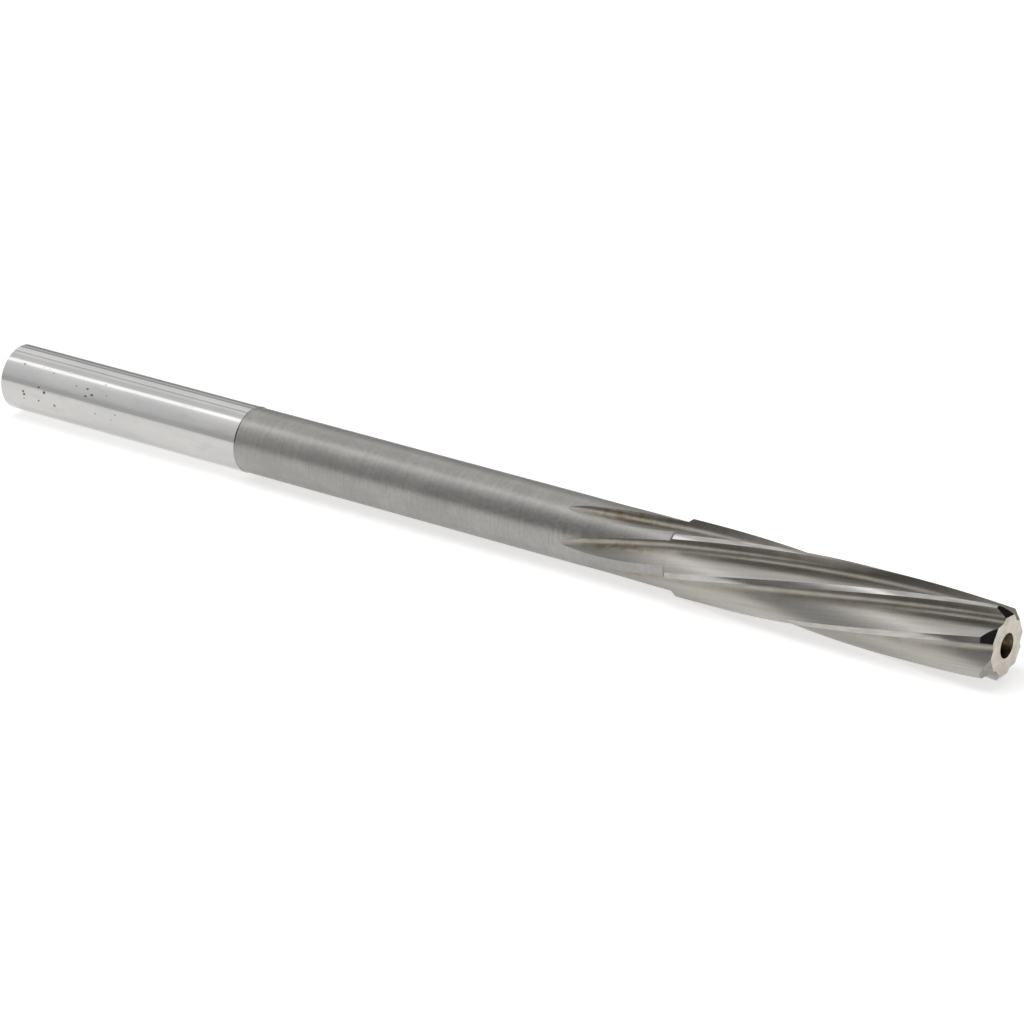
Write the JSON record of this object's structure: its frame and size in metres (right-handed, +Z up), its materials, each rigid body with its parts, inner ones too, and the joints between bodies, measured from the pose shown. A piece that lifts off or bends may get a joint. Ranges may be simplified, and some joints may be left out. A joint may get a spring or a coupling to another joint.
{
  "type": "machine reamer",
  "caption": "Machine reamer with a plain ground shank, a slightly thinner neck and left-hand helical flutes that end in a short lead, with a drilled centre in each end.",
  "frame": {"origin": "on the surface that the reamer lies on, under the middle of its length and of its width", "axes": "+X along the tool's axis towards the cutting end, +Z up, with the axis level"},
  "size_m": [0.103, 0.0066, 0.0066],
  "materials": {
    "high_speed_steel": "ground: bright on the shank and lands, satin grey on the neck and in the flutes"
  },
  "bodies": {
    "root": {"reamer": "high_speed_steel"}
  },
  "joints": []
}
